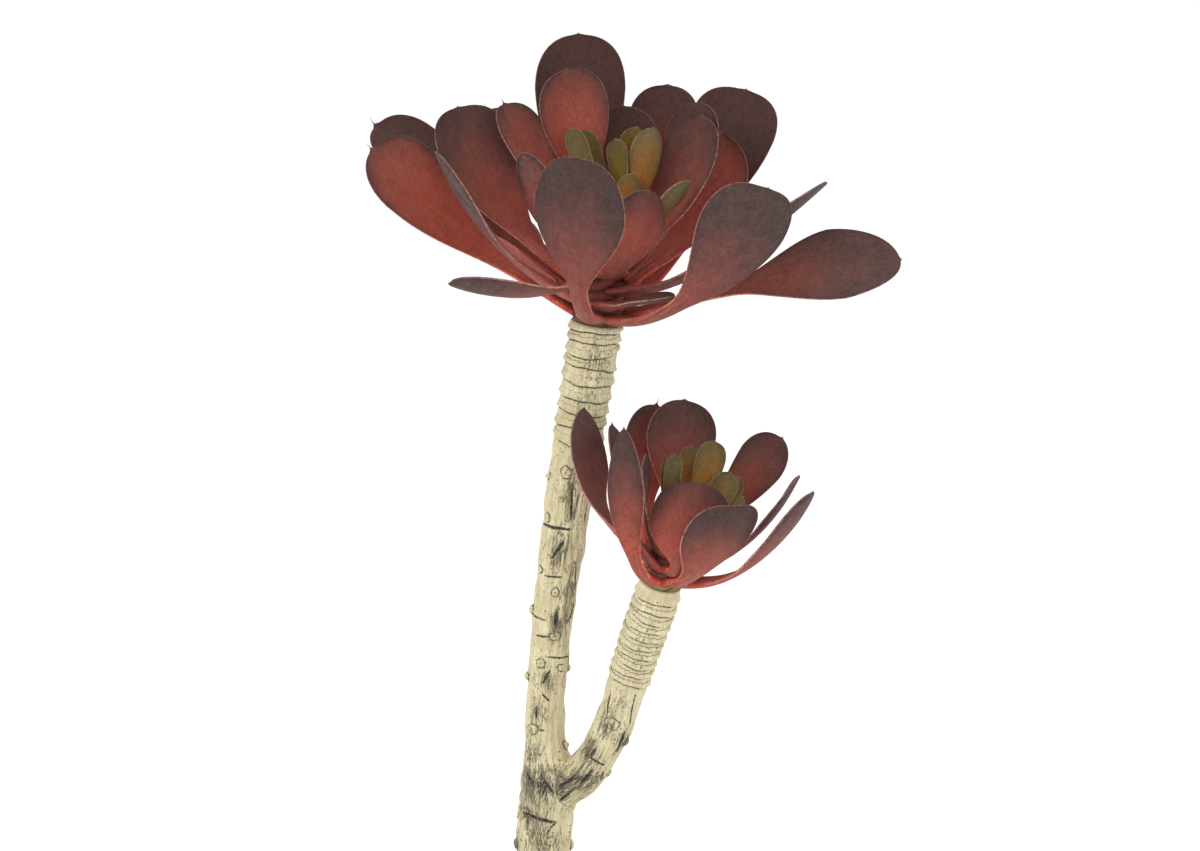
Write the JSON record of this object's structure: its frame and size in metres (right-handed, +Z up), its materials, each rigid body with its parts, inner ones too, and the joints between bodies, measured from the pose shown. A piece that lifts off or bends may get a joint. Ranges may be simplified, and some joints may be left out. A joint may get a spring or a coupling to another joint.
{
  "type": "potted echeveria",
  "caption": "Potted echeveria: a pale forked stem, ringed at its necks, carries two open rosettes of dark red paddle leaves above a plain clay pot of soil.",
  "frame": {"origin": "centre of the pot's underside", "axes": "+Z up, -Y the plant's front as pictured, +X its right"},
  "size_m": [0.2661, 0.2083, 0.5895],
  "materials": {
    "pot": "matt",
    "soil": "matt",
    "stem": "matt",
    "young_leaf": "satin",
    "leaf": "satin"
  },
  "bodies": {
    "root": {"pot": "pot", "soil": "soil", "stem": "stem", "large_heart": "young_leaf", "small_heart": "young_leaf", "large_leaf_01": "leaf", "large_leaf_02": "leaf", "large_leaf_03": "leaf", "large_leaf_04": "leaf", "large_leaf_05": "leaf", "large_leaf_06": "leaf", "large_leaf_07": "leaf", "large_leaf_08": "leaf", "large_leaf_09": "leaf", "large_leaf_10": "leaf", "large_leaf_11": "leaf", "large_leaf_12": "leaf", "large_leaf_13": "leaf", "large_leaf_14": "leaf", "large_leaf_15": "leaf", "large_leaf_16": "leaf", "large_leaf_17": "leaf", "large_leaf_18": "leaf", "large_leaf_19": "leaf", "large_leaf_20": "leaf", "large_leaf_21": "leaf", "large_leaf_22": "leaf", "large_leaf_23": "leaf", "large_leaf_24": "leaf", "small_leaf_01": "leaf", "small_leaf_02": "leaf", "small_leaf_03": "leaf", "small_leaf_04": "leaf", "small_leaf_05": "leaf", "small_leaf_06": "leaf", "small_leaf_07": "leaf", "small_leaf_08": "leaf", "small_leaf_09": "leaf", "small_leaf_10": "leaf", "small_leaf_11": "leaf", "small_leaf_12": "leaf", "small_leaf_13": "leaf"}
  },
  "joints": []
}
